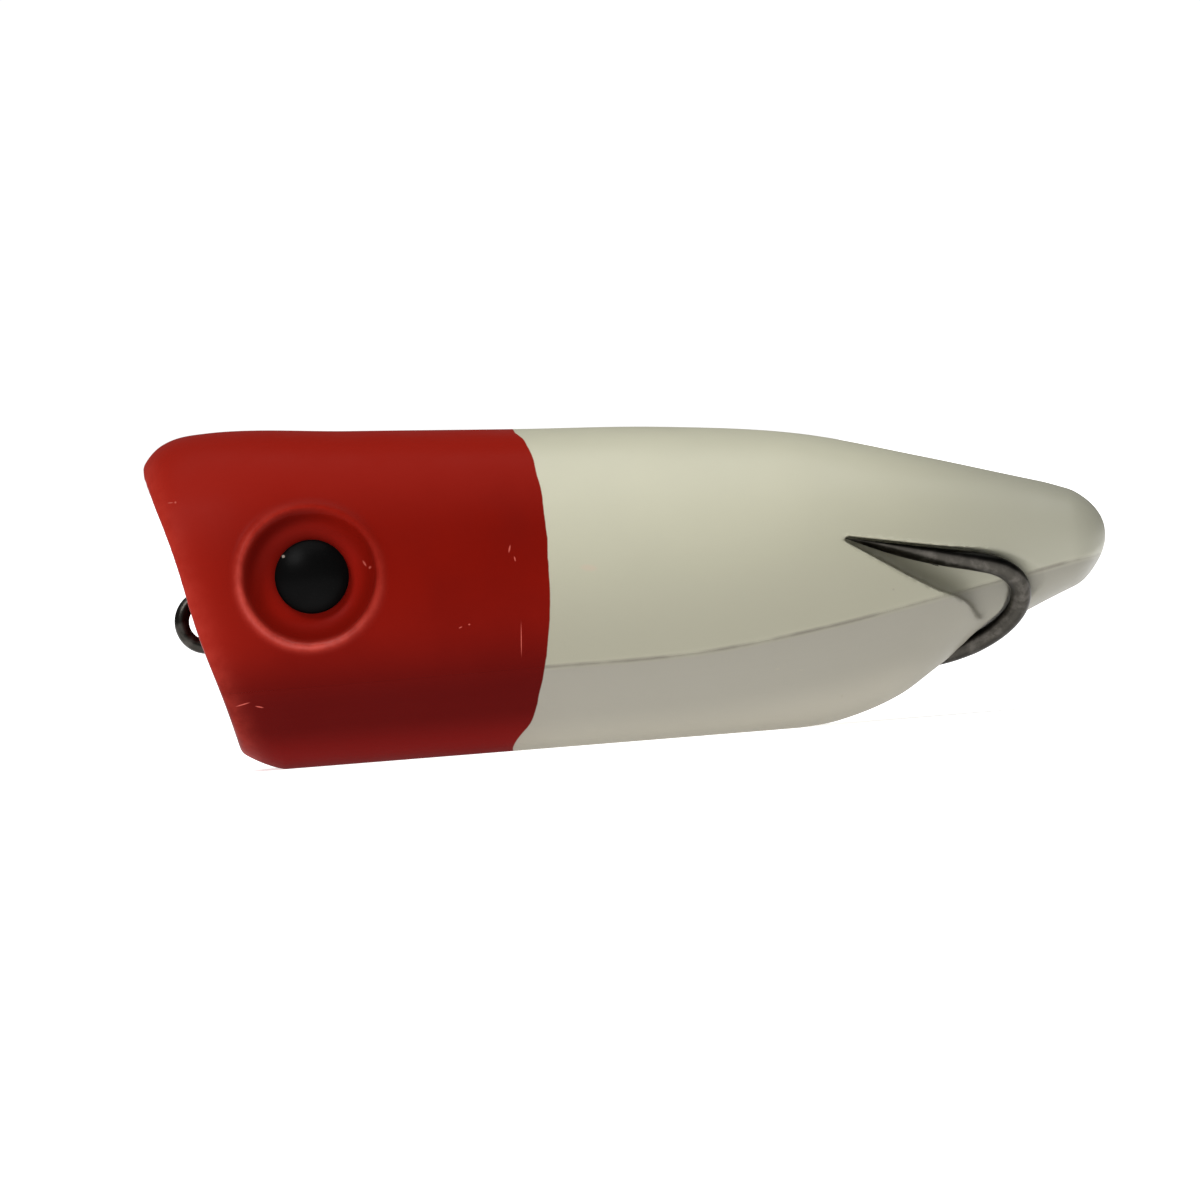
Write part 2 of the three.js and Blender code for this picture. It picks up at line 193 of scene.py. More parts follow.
# Barb: its place and length along the spear from the point, how far it stands off the spear's middle line
# at its foot, how much it lifts and how late, and how thick it is at its foot and its end.
BARB_START = 5.0
BARB_LENGTH = 1.7
BARB_FOOT = 0.5
BARB_LIFT = 0.45
BARB_CURVE = 1.6
BARB_THICK = 0.26
BARB_THIN = 0.012
BARB_TAPER = 0.6
BARB_FLATNESS = 0.8

# The hook's way through the body: its travel, the room of the shanks' slot, the room round the prongs
# before the skin is softened and the least room that is left after it, and in how many steps the travel
# is cut.
HOOK_TRAVEL = 1.5
SHANK_ROOM = 0.35
HOOK_ROOM = 0.2
CLEAR_ROOM = 0.06
SLIDE_STEPS = 4

# Pocket in each flank that hides the spear, as (x, z). Its inner wall leans out, and passes just inside
# the spear at the given height over the shanks.
POCKET = [
    (13.8, 12.82),
    (23, 11.1),
    (25, 10.4),
    (26.3, 9.1),
    (26.4, 7.2),
    (25.4, 5.7),
    (23.9, 6.1),
    (23.2, 6.45),
    (22.95, 6.95),
    (22.65, 7.45),
    (21.9, 7.95),
    (20.6, 8.5),
    (18.6, 9.7),
]
POCKET_ROOM = 0.3
POCKET_LEAN = math.radians(21)
POCKET_HEIGHT = 9.4

# Edge of the red paint, as (z, x).
PAINT_EDGE = [
    (0, -8.75),
    (2, -7.35),
    (5.5, -6.2),
    (7.2, -5.8),
    (11.5, -5.4),
    (15.1, -5.35),
    (18, -5.6),
    (20.7, -6.3),
    (21.7, -7.1),
]

# Room light on the object, how pale the walls look, and how strongly the pale floor glows.
ROOM_LIGHT = 0.15
WALL_SHADE = 1.05
FLOOR_GLOW = 0.7

# Painted shade on the upward sides of the hook's prongs: the x where the black starts, and the length over
# which it comes in.
PAINTED_SHADE_START = 12
PAINTED_SHADE_FADE = 3

# Wear of the paint with a painted highlight on it: on the cup's lip with its reach behind the rim, and on the
# beads round the eyes. On a bead it is strongest low down and towards the nose, where the light catches it.
RIM_WEAR_AND_HIGHLIGHT = 0.3
RIM_WEAR_AND_HIGHLIGHT_REACH = 1.1
BEAD_WEAR_AND_HIGHLIGHT = 0.8
BEAD_WEAR_AND_HIGHLIGHT_LOW = 0.4
BEAD_WEAR_AND_HIGHLIGHT_AHEAD = 0.25
BEAD_WEAR_AND_HIGHLIGHT_BOTTOM = -1

# Painted light and shade in the eye sockets, down to a depth: a painted light ring on the floor and a painted
# shade ring on the wall, as (radius, width), how strong the painted light is, and how much lies up or ahead
# of the eye's middle counts for the painted shade.
SOCKET_BOTTOM = -4
PAINTED_LIGHT_RING = (3.0, 0.8)
PAINTED_SHADE_RING = (4.0, 0.7)
PAINTED_LIGHT_STRENGTH = 0.55
SHADE_UP = 0.8
SHADE_AHEAD = 0.5

# Blemishes on the left flank, and a painted highlight on its pupil, each as (centre, half-size, angle from
# level).
SCRATCHES = [
    ((-30.4, -9, 18.5), (0.28, 4, 0.05), 0),
    ((-30.05, -9, 18.5), (0.1, 4, 0.1), 0),
    ((-7.9, -10, 13.6), (0.32, 4, 0.07), 75),
    ((-7.6, -10, 12.9), (0.22, 4, 0.06), 100),
    ((-11.6, -10, 8.6), (0.16, 4, 0.05), 20),
    ((-11.0, -10, 8.75), (0.09, 4, 0.07), 0),
    ((-7.6, -10, 7.5), (1.4, 4, 0.04), 86),
    ((-26.6, -9, 4.6), (0.6, 4, 0.05), 12),
    ((-25.5, -9, 4.35), (0.35, 4, 0.05), -15),
    ((-17.7, -10, 13.4), (0.3, 4, 0.09), -62),
    ((-17.35, -10, 13.1), (0.14, 4, 0.1), 45),
]
VINYL_PITS = [
    ((13.6, -9, 1.9), (0.13, 4, 0.2), -10),
    ((17.6, -8, 8.8), (0.1, 4, 0.1), 0),
    ((9.4, -10, 4.1), (0.2, 4, 0.08), 5),
    ((11.0, -10, 3.9), (0.18, 4, 0.07), 0),
]
PINK_SMEAR = ((-2.7, -10.5, 11.9), (0.28, 4, 0.75), 80)
PUPIL_PAINTED_GLINT = ((-23.1, -9, 14.3), (0.14, 4, 0.13), 0)

# Colours of the vinyl, from the upper half down to the belly and back to the tail, and of its marks. The
# darker ones towards the seam, under it and along the tail are painted shade on a greyer belly, and the
# belly's paler one is a painted bounce light towards its bottom.
VINYL = (0.535, 0.524, 0.397)
VINYL_CLOUD = (0.515, 0.505, 0.384)
VINYL_PAINTED_SHADE = (0.295, 0.284, 0.216)
BELLY_GREY_PAINTED_BOUNCE = (0.345, 0.322, 0.266)
BELLY_GREY_PAINTED_SHADE = (0.250, 0.236, 0.196)
TAIL_UPPER_PAINTED_SHADE = (0.325, 0.322, 0.265)
TAIL_LOWER_PAINTED_SHADE = (0.165, 0.161, 0.134)
SEAM_DIRT = (0.17, 0.155, 0.125)
PIT_DIRT = (0.27, 0.25, 0.20)
PINK = (0.55, 0.32, 0.26)

# Colours of the paint. The brighter ones on top and towards the nose, the darker one below the seam and the
# one along the bottom are painted light and shade, as are the two in the sockets; the worn red carries a
# painted highlight too.
RED = (0.172, 0.0050, 0.0022)
RED_CLOUD = (0.148, 0.0041, 0.0019)
RED_PAINTED_LIGHT_TOP = (0.265, 0.0085, 0.0032)
RED_PAINTED_LIGHT_FRONT = (0.262, 0.0108, 0.0054)
RED_PAINTED_SHADE_LOW = (0.070, 0.0022, 0.0019)
RED_PAINTED_BOUNCE = (0.160, 0.0065, 0.0054)
SOCKET_PAINTED_LIGHT = (0.34, 0.0105, 0.0050)
SOCKET_PAINTED_SHADE = (0.055, 0.0020, 0.0014)
WORN_RED_AND_HIGHLIGHT = (0.56, 0.065, 0.045)
SCRATCHED_RED = (0.45, 0.085, 0.065)

# Colours of the hook's plating and its painted shade, the pupils with their painted highlight, and the
# weight.
NICKEL = (0.040, 0.037, 0.032)
NICKEL_WORN = (0.085, 0.078, 0.069)
PAINTED_SHADE_BLACK = (0.004, 0.004, 0.0035)
PUPIL_BLACK = (0.0025, 0.0025, 0.0025)
PUPIL_DUST = (0.006, 0.006, 0.006)
PUPIL_GLINT_COLOR = (0.30, 0.26, 0.22)
LEAD_DARK = (0.10, 0.10, 0.105)
LEAD_PALE = (0.24, 0.24, 0.25)

# Skin mesh: the voxel of the remesh, the passes of smoothing all over, round the cup's rim and where the
# belly's edge of the pocket ends, how far those two reach, and how close a point must be to the clean
# blank to go back onto it fully or at all.
VOXEL = 0.17
SMOOTH_PASSES = 4
RIM_PASSES = 36
RIM_REACH = 1.8
STERN_PASSES = 40
STERN_EDGE = (23.4, 6.1)
STERN_REACH = 1.3
SNAP_FULL = 0.03
SNAP_NONE = 0.09

# A length that reaches past the body on every side, for the blocks that cut it.
BEYOND = 40


# ---- Lines and sections ----


def line_through(pairs):
    """A smooth line through (place, value) pairs, as a function of the place."""
    places = [pair[0] for pair in pairs]
    values = [pair[1] for pair in pairs]
    steps = list(zip(pairs, pairs[1:]))
    secants = [(after[1] - before[1]) / (after[0] - before[0]) for before, after in steps]
    slopes = [0.0, *[(a + b) / 2 for a, b in zip(secants, secants[1:])], 0.0]

    def at(place):
        place = min(max(place, places[0]), places[-1])
        i = min(bisect_right(places, place) - 1, len(places) - 2)
        span = places[i + 1] - places[i]
        t = (place - places[i]) / span
        start = values[i] * (2 * t**3 - 3 * t**2 + 1) + slopes[i] * span * (t**3 - 2 * t**2 + t)
        end = values[i + 1] * (3 * t**2 - 2 * t**3) + slopes[i + 1] * span * (t**3 - t**2)
        return start + end

    return at


back_at = line_through(BACK_HEIGHT)
belly_line = line_through(BELLY_HEIGHT)
seam_at = line_through(SEAM_HEIGHT)
half_width_at = line_through(HALF_WIDTH)
keel_share_at = line_through(KEEL_SHARE)
side_wall_at = line_through(SIDE_WALL)
paint_edge_at = line_through(PAINT_EDGE)


def belly_at(x):
    return max(0.0, belly_line(x))


def bezier(points, steps):
    """Points along a Bezier curve of any order, without its first point."""
    row = []
    for k in range(1, steps + 1):
        t = k / steps
        level = [Vector(p) for p in points]
        while len(level) > 1:
            level = [a.lerp(b, t) for a, b in zip(level, level[1:])]
        row.append(level[0])
    return row


def half_section(x, side_inset=0.0, inset=0.0):
    """One half of a cross-section, from the keel round the chine to the back, as (y, z)."""
    half = half_width_at(x) - side_inset
    top = back_at(x) - inset
    keel = belly_at(x) + inset
    seam = seam_at(x)
    flat = half * keel_share_at(x)
    chine = half * CHINE_SHARE
    rise = top - seam
    bilge = (flat + BILGE_PULL[0] * (chine - flat), keel + BILGE_PULL[1] * (seam - keel))
    row = [Vector((0, keel))]
    row += bezier([(0, keel), (flat, keel)], 8)
    row += bezier([(flat, keel), bilge, (chine, seam)], 16)
    side_pull = (half * SIDE_PULL[0], seam + rise * SIDE_PULL[1])
    row += bezier([(chine, seam), side_pull, (half * SHOULDER_PULL, top), (0, top)], 52)
    return row


def bell(distance, width):
    """1 in the middle, falling smoothly towards 0 over the width on both sides."""
    return math.exp(-((distance / width) ** 2))


def ellipse_shrink(distance, length):
    """The share of a section that is left at a distance into an elliptic end of the given length."""
    return math.sqrt(1 - min(1.0, max(0.0, distance / length)) ** 2)


def spread(start, end, step):
    """Even places about a step apart, from the start to just short of the end."""
    count = max(1, round(abs(end - start) / step))
    return [start + (end - start) * i / count for i in range(count)]


def rounded_end(end, length, direction):
    """Places that crowd together towards an end, so that its rounding is smooth."""
    angles = [math.radians(degrees) for degrees in range(0, 88, 4)]
    return [end - direction * length * (1 - math.sin(angle)) for angle in angles]


def body_rings(stations, shrink, side_inset=None, inset=0.0):
    """Closed cross-sections of the body, shrunk towards their middles and inset for the inside of walls."""
    rings = []
    for x in stations:
        half = half_section(x, side_inset(x) if side_inset else 0.0, inset)
        middle = (half[0].y + half[-1].y) / 2
        outline = half + [Vector((-p.x, p.y)) for p in reversed(half[1:-1])]
        scale = shrink(x)
        rings.append([Vector((x, p.x * scale, middle + (p.y - middle) * scale)) for p in outline])
    return rings


# ---- Mesh helpers ----


def new_object(name, points, faces):
    """A mesh object from points in millimetres."""
    mesh = bpy.data.meshes.new(name)
    mesh.from_pydata([tuple(p * MM) for p in points], [], faces)
    mesh.update()
    made = bpy.data.objects.new(name, mesh)
    bpy.context.scene.collection.objects.link(made)
    return made


def loft(name, rings):
    """A closed skin over a row of rings with the same number of points, with a fan over each end."""
    count = len(rings[0])
    points = [p for ring in rings for p in ring]
    points.append(sum(rings[0], Vector()) / count)
    points.append(sum(rings[-1], Vector()) / count)
    last = (len(rings) - 1) * count
    faces = []
    for j in range(count):
        following = (j + 1) % count
        for i in range(0, last, count):
            faces.append((i + j, i + following, i + count + following, i + count + j))
        faces.append((len(points) - 2, following, j))
        faces.append((len(points) - 1, last + j, last + following))
    return new_object(name, points, faces)


def lathe(name, profile, segments):
    """A solid turned about z from a profile of (radius, height) that starts and ends on the axis."""
    rings = []
    for radius, height in profile[1:-1]:
        turns = [2 * math.pi * k / segments for k in range(segments)]
        rings.append([Vector((radius * math.cos(a), radius * math.sin(a), height)) for a in turns])
    made = loft(name, rings)
    made.data.vertices[-2].co.z = profile[0][1] * MM
    made.data.vertices[-1].co.z = profile[-1][1] * MM
    return made


def prism(name, outline, depth):
    """An (x, z) outline pushed along y from 0 to the depth."""
    count = len(outline)
    points = [Vector((x, 0, z)) for x, z in outline] + [Vector((x, depth, z)) for x, z in outline]
    faces = [tuple(range(count)), tuple(range(2 * count - 1, count - 1, -1))]
    for j in range(count):
        following = (j + 1) % count
        faces.append((following, j, count + j, count + following))
    return outward(new_object(name, points, faces))


def outward(made):
    """The object with all faces turned outward and cut into triangles."""
    work = bmesh.new()
    work.from_mesh(made.data)
    bmesh.ops.triangulate(work, faces=work.faces)
    bmesh.ops.recalc_face_normals(work, faces=work.faces)
    work.to_mesh(made.data)
    work.free()
    return made


def place(made, matrix):
    """Moves the object's mesh by a matrix in millimetres."""
    scale = Matrix.Scale(MM, 4)
    made.data.transform(scale @ matrix @ scale.inverted())
    if matrix.determinant() < 0:
        made.data.flip_normals()
    return made


def apply_modifiers(made):
    """Replaces the object's mesh by what its modifiers make of it."""
    graph = bpy.context.evaluated_depsgraph_get()
    finished = bpy.data.meshes.new_from_object(made.evaluated_get(graph))
    made.modifiers.clear()
    old = made.data
    made.data = finished
    bpy.data.meshes.remove(old)
    return made


def combine(made, tool, operation="DIFFERENCE"):
    """Cuts the tool from the object, or joins or intersects them."""
    step = made.modifiers.new("combine", "BOOLEAN")
    step.operation = operation
    step.object = tool
    step.solver = "MANIFOLD"
    apply_modifiers(made)
    bpy.data.objects.remove(tool)
    return made


def copy_of(made, name):
    twin = bpy.data.objects.new(name, made.data.copy())
    bpy.context.scene.collection.objects.link(twin)
    return twin


def dress(made, material):
    made.data.materials.clear()
    made.data.materials.append(material)


def smooth_faces(made, sharp_angle):
    made.data.shade_smooth()
    made.data.set_sharp_from_angle(angle=math.radians(sharp_angle))


# ---- Body blank and its cutting tools ----


def body_blank():
    """The outside of the body, solid, with nothing cut out of it."""
    tail_start = TAIL_TIP - TAIL_ROUND
    stations = spread(NOSE_BLANK, tail_start, 0.3) + rounded_end(TAIL_TIP, TAIL_ROUND, 1)
    return loft("blank", body_rings(stations, lambda x: ellipse_shrink(x - tail_start, TAIL_ROUND)))


def air_chamber():
    """The space inside the walls, rounded at both ends."""
    nose_start = CHAMBER_NOSE + CHAMBER_ROUND
    stern_start = CHAMBER_STERN - CHAMBER_ROUND
    stations = rounded_end(CHAMBER_NOSE, CHAMBER_ROUND, -1)[::-1]
    stations += spread(nose_start + 0.5, stern_start, 0.6) + rounded_end(CHAMBER_STERN, CHAMBER_ROUND, 1)

    def shrink(x):
        return ellipse_shrink(max(nose_start - x, x - stern_start), CHAMBER_ROUND)

    return loft("chamber", body_rings(stations, shrink, side_wall_at, WALL))


def rim_placement():
    """The frame of the cup's rim: x points aft from its plane, and z runs up in it from its foot."""
    return Matrix.Translation((RIM_FOOT, 0, 0)) @ Matrix.Rotation(-RIM_LEAN, 4, "Y")


def rim_block():
    """Everything ahead of the gently waved rim."""
    ahead = -30
    below = -8
    outline = []
    for s in spread(below, BEYOND, 0.5):
        wave = RIM_WAVE * math.cos(2 * math.pi * (s - RIM_WAVE_START) / RIM_WAVE_LENGTH)
        outline.append((RIM_WAVE + wave, s))
    outline += [(ahead, BEYOND), (ahead, below)]
    block = prism("rim", outline, BEYOND)
    return place(block, rim_placement() @ Matrix.Translation((0, -BEYOND / 2, 0)))


def cup_dish():
    """The ellipsoid that hollows out the cup."""
    steps = 60
    arc = [math.pi * k / steps for k in range(steps + 1)]
    dish = lathe("dish", [(math.sin(a), -math.cos(a)) for a in arc], 120)
    size = Matrix.Diagonal((CUP_DEPTH, CUP_HALF_WIDTH, CUP_HALF_HEIGHT, 1))
    return place(dish, rim_placement() @ Matrix.Translation((0, 0, CUP_MIDDLE)) @ size)


def eye_placement(side):
    """The frame of one eye: z looks out of the socket, and the origin is on the flank."""
    look = Matrix.Rotation(-side * (math.pi / 2 - EYE_TILT), 4, "X")
    return Matrix.Translation((EYE.x, side * EYE.y, EYE.z)) @ look


def eye_socket(side):
    """The round bowl of one eye, open to the outside."""
    wall_at = line_through(SOCKET_BOWL[:-1])
    wall = [(radius, wall_at(radius)) for radius in spread(SOCKET_BOWL[0][0], SOCKET_BOWL[-2][0], 0.1)]
    outline = [(0, -SOCKET_DEPTH), *wall, SOCKET_BOWL[-1], (0, SOCKET_BOWL[-1][1])]
    return place(lathe("socket", outline, 96), eye_placement(side))


def hook_placement(slid=0.0):
    """The hook's frame in the body, when it has slid aft by the given distance."""
    turn = Matrix.Rotation(SHANK_DROP, 4, "Y")
    return Matrix.Translation(EYE_CENTRE) @ turn @ Matrix.Translation((slid, 0, 0))


def flank_pocket(side):
    """The pocket's outline pushed outward from an inner wall that leans out just inside the spear."""
    placement = hook_placement()
    pocket = place(prism("pocket", POCKET, BEYOND), placement.inverted())
    lean = Matrix.Identity(4)
    lean[1][2] = math.tan(POCKET_LEAN)
    spear_out = SHANK_OFFSET + POCKET_HEIGHT * math.sin(PRONG_TILT)
    spear_up = POCKET_HEIGHT * math.cos(PRONG_TILT)
    wall = spear_out - (FORGED_THIN + POCKET_ROOM) / math.cos(PRONG_TILT) - spear_up * math.tan(POCKET_LEAN)
    mirror = Matrix.Diagonal((1, side, 1, 1))
    return place(pocket, mirror @ placement @ Matrix.Translation((0, wall, 0)) @ lean)


def shank_passage(room):
    """A slot with round sides along the twin shanks."""
    reach = WIRE_RADIUS + room
    steps = 16
    ring = []
    for side in (1, -1):
        for k in range(steps + 1):
            angle = math.pi * k / steps - side * math.pi / 2
            ring.append((side * SHANK_OFFSET + reach * math.cos(angle), reach * math.sin(angle)))
    rings = [[Vector((x, y, z)) for y, z in ring] for x in spread(0, SHANK_LENGTH + 1, 1)]
    return place(outward(loft("passage", rings)), hook_placement())


def seam_block(direction, gap):
    """All that lies above the seam, or below it, less half of the gap."""
    edge = [(x, seam_at(x) + direction * gap / 2) for x in spread(-BEYOND, BEYOND, 0.5)]
    outline = edge + [(BEYOND, direction * BEYOND), (-BEYOND, direction * BEYOND)]
    return place(prism("seam", outline, BEYOND), Matrix.Translation((0, -BEYOND / 2, 0)))


# ---- Double hook ----


def wire_station(side, along, height, offset, tilt, wide, thin):
    """One station of the wire. Height is measured in the plane of the prong, which leans out by the tilt."""
    return {
        "centre": Vector((along, side * (offset + height * math.sin(tilt)), height * math.cos(tilt))),
        "across": Vector((0, math.cos(tilt), -side * math.sin(tilt))),
        "wide": wide,
        "thin": thin,
    }


def eye_half(side):
    """The loop, neck and shank on one side. The right wire takes the top of the eye, the left the bottom."""

    def round_wire(along, height, offset):
        return wire_station(side, along, height, offset, 0, WIRE_RADIUS, WIRE_RADIUS)

    steps = 36
    row = []
    for k in range(steps + 1):
        share = k / steps
        angle = side * (math.pi - share * (math.pi - NECK_ANGLE))
        along, height = EYE_LOOP_RADIUS * math.cos(angle), EYE_LOOP_RADIUS * math.sin(angle)
        row.append(round_wire(along, height, share * SHANK_OFFSET))
    start = (along, height)
    neck = [start, (NECK_PULL[0], side * NECK_PULL[1]), (NECK_LEVEL, 0), (NECK_LENGTH, 0)]
    for p in bezier(neck, 12):
        row.append(round_wire(p.x, p.y, SHANK_OFFSET))
    for along in spread(NECK_LENGTH + 1.5, SHANK_LENGTH - 2, 2):
        row.append(round_wire(along, 0, SHANK_OFFSET))
    return row


def prong(side, room=0.0):
    """The wire aft of the shank on one side: the knee, the round bend and the tapering spear.

    With room it is thicker all over and ends past the point, to cut the space that the prong needs.
    """

    def place_wire(along, height, wide, thin):
        return wire_station(side, along, height, SHANK_OFFSET, PRONG_TILT, wide + room, thin + room)

    knee_steps = 14
    spear_steps = 24
    row = []
    knee = [(SHANK_LENGTH - KNEE_REACH, 0), (SHANK_LENGTH + KNEE_PULL, 0), BEND[0]]
    for k, p in enumerate(bezier(knee, knee_steps)):
        share = (k + 1) / knee_steps
        wide = WIRE_RADIUS + (FORGED_WIDE - WIRE_RADIUS) * share
        row.append(place_wire(p.x, p.y, wide, WIRE_RADIUS + (FORGED_THIN - WIRE_RADIUS) * share))
    row += [place_wire(p.x, p.y, FORGED_WIDE, FORGED_THIN) for p in bezier(BEND, 40)]
    start, point = Vector(BEND[-1]), Vector(POINT)
    length = (point - start).length
    for k in range(spear_steps + 1):
        left = TAPER * (1 - k / spear_steps)
        if k == spear_steps:
            left = -room if room else POINT_FLAT
        p = start.lerp(point, 1 - left / length)
        slim = left / TAPER
        swell = SPEAR_SWELL * math.sin(math.pi * max(0, slim))
        row.append(place_wire(p.x, p.y - swell, FORGED_WIDE * slim + swell, FORGED_THIN * slim))
    return row


def wire_object(name, stations, sides):
    """An oval wire through the stations, with the given number of points round each."""
    rings = []
    for i, station in enumerate(stations):
        before = stations[max(0, i - 1)]["centre"]
        after = stations[min(len(stations) - 1, i + 1)]["centre"]
        run = (after - before).normalized()
        thin = (station["across"] - run * station["across"].dot(run)).normalized()
        wide = thin.cross(run)
        turns = [2 * math.pi * k / sides for k in range(sides)]
        across = [wide * station["wide"] * math.cos(a) + thin * station["thin"] * math.sin(a) for a in turns]
        rings.append([station["centre"] + offset for offset in across])
    return loft(name, rings)


def hook_rooms(room):
    """What the hook takes up in the body at every place along its slide, with room round it."""
    rooms = [shank_passage(room)]
    for side in SIDES.values():
        for k in range(SLIDE_STEPS + 1):
            placement = hook_placement(HOOK_TRAVEL * k / SLIDE_STEPS)
            rooms.append(place(wire_object("room", prong(side, room), 16), placement))
    return rooms


def barb(side):
    """A cut-up tongue on the inner side of the spear: a slim wedge that lifts towards the bend."""
    steps = 12
    sides = 12
    point = Vector(POINT)
    run = (Vector(BEND[-1]) - point).normalized()
    inward = Vector((run.y, -run.x))
    rings = []
    for k in range(steps + 1):
        share = k / steps
        along = BARB_START + BARB_LENGTH * share
        lift = BARB_FOOT + BARB_LIFT * share**BARB_CURVE
        size = BARB_THICK * (1 - share) ** BARB_TAPER + BARB_THIN
        centre = point + run * along + inward * lift
        ring = []
        for j in range(sides):
            angle = 2 * math.pi * j / sides
            p = centre + inward * size * BARB_FLATNESS * math.cos(angle)
            off = size * math.sin(angle)
            out = side * (SHANK_OFFSET + p.y * math.sin(PRONG_TILT) + off * math.cos(PRONG_TILT))
            ring.append(Vector((p.x, out, p.y * math.cos(PRONG_TILT) - off * math.sin(PRONG_TILT))))
        rings.append(ring)
    return outward(loft("barb", rings))


def double_hook():
    """One wire from point to point, with its two barbs, in its place in the body."""
    halves = {side: eye_half(side) + prong(side) for side in SIDES.values()}
    stations = halves[-1][::-1] + halves[1][1:]
    hook = wire_object("hook_wire_formed", stations, 28)
    for side in SIDES.values():
        combine(hook, barb(side), "UNION")
    place(hook, hook_placement())
    smooth_faces(hook, 60)
    mark_upward_shade(hook)
    return hook


def mark_upward_shade(hook):
    """Stores how much painted shade each point gets: most on the upward sides of the prongs, which the flank
    above would shade.
    """
    values = []
    for vertex in hook.data.vertices:
        share = (vertex.co.x / MM - PAINTED_SHADE_START) / PAINTED_SHADE_FADE
        values.append(min(1.0, max(0.0, share)) * vertex.normal.z)
    layer = hook.data.attributes.new("upward_shade", "FLOAT", "POINT")
    layer.data.foreach_set("value", values)


# ---- Skin of the body ----


def hull():
    """The whole soft body: the blank with its openings, remeshed so that every moulded edge is soft.

    The hook's path is cut once more at the end, because softening draws the skin in over it. The air chamber
    comes last, because it needs no soft edges.
    """
    blank = body_blank()
    body = copy_of(blank, "hull")
    openings = [rim_block(), cup_dish(), shank_passage(SHANK_ROOM), *hook_rooms(HOOK_ROOM)]
    for side in SIDES.values():
        openings += [eye_socket(side), flank_pocket(side)]
    for opening in openings:
        combine(body, opening)
    remesh = body.modifiers.new("remesh", "REMESH")
    remesh.mode = "VOXEL"
    remesh.voxel_size = VOXEL * MM
    soften(body, SMOOTH_PASSES)
    snap_to(body, blank)
    bpy.data.objects.remove(blank)
    soften(body, 1)
    raise_lips(body)
    fade_edges(body, "rim", nearness_to_rim, RIM_PASSES)
    fade_edges(body, "stern", nearness_to_stern, STERN_PASSES)
    for opening in [*hook_rooms(CLEAR_ROOM), air_chamber()]:
        combine(body, opening)
    return body


def soften(body, passes, group=""):
    """Smooths the skin, all over or in one group of its points."""
    step = body.modifiers.new("soften", "SMOOTH")
    step.iterations = passes
    step.factor = 0.5
    step.vertex_group = group
    apply_modifiers(body)


def fade_edges(body, name, nearness, passes):
    """Rounds the edges in one region, more the nearer a point is to its middle."""
    group = body.vertex_groups.new(name=name)
    for vertex in body.data.vertices:
        share = nearness(vertex.co / MM)
        if share > 0:
            group.add([vertex.index], min(1.0, share), "REPLACE")
    soften(body, passes, name)


def nearness_to_rim(point):
    """1 on the plane of the cup's rim, falling to 0 a little behind it."""
    return 1 - (rim_placement().inverted() @ point).x / RIM_REACH


def nearness_to_stern(point):
    """Above 1 where the belly's edge of the pocket ends at the wire, falling to 0 all round."""
    peak = 1.4
    return peak - math.hypot(point.x - STERN_EDGE[0], point.z - STERN_EDGE[1]) / STERN_REACH


def raise_lips(body):
    """Raises a soft bead of skin round each eye socket."""
    for side in SIDES.values():
        placement = eye_placement(side)
        to_eye = placement.inverted()
        outward_look = placement.to_3x3() @ Vector((0, 0, 1))
        for vertex in body.data.vertices:
            local = to_eye @ (vertex.co / MM)
            radius = math.hypot(local.x, local.y)
            if local.z > LIP_BOTTOM and radius < LIP_RADIUS + 3 * LIP_WIDTH:
                lift = LIP_HEIGHT * bell(radius - LIP_RADIUS, LIP_WIDTH)
                vertex.co += outward_look * lift * MM


def snap_to(body, blank):
    """Puts each point that is almost on the clean blank back onto it, so the flanks stay true."""
    tree = BVHTree.FromObject(blank, bpy.context.evaluated_depsgraph_get())
    for vertex in body.data.vertices:
        nearest, _, _, distance = tree.find_nearest(vertex.co, SNAP_NONE * MM)
        if nearest is None:
            continue
        share = (distance / MM - SNAP_FULL) / (SNAP_NONE - SNAP_FULL)
        vertex.co = nearest.lerp(vertex.co, min(1.0, max(0.0, share)))


def groove_seam(shell):
    """Draws the skin in along the seam, except under the paint that fills it."""
    for vertex in shell.data.vertices:
        x, y, z = vertex.co / MM
        near = 1 - abs(z - seam_at(x)) / SEAM_GROOVE_WIDTH
        bare = x - paint_edge_at(z)
        if near > 0 and bare > 0:
            depth = SEAM_GROOVE * near**2 * min(1.0, bare)
            vertex.co.y -= math.copysign(min(depth, abs(y)), y) * MM


def edge_wear_and_highlight(point):
    """How much the paint is rubbed and carries a painted highlight at a point, on the lip of the cup and on
    the beads round the eyes.
    """
    behind_rim = (rim_placement().inverted() @ point).x
    wear_and_highlight = RIM_WEAR_AND_HIGHLIGHT * bell(behind_rim, RIM_WEAR_AND_HIGHLIGHT_REACH)
    local = eye_placement(math.copysign(1, point.y)).inverted() @ point
    if local.z > BEAD_WEAR_AND_HIGHLIGHT_BOTTOM:
        away = BEAD_WEAR_AND_HIGHLIGHT_LOW * (point.z - EYE.z) + BEAD_WEAR_AND_HIGHLIGHT_AHEAD * (point.x - EYE.x)
        rubbed = 0.5 - away / LIP_RADIUS
        from_lip = math.hypot(local.x, local.y) - LIP_RADIUS
        wear_and_highlight = max(wear_and_highlight, BEAD_WEAR_AND_HIGHLIGHT * max(0, rubbed) * bell(from_lip, LIP_WIDTH))
    return wear_and_highlight


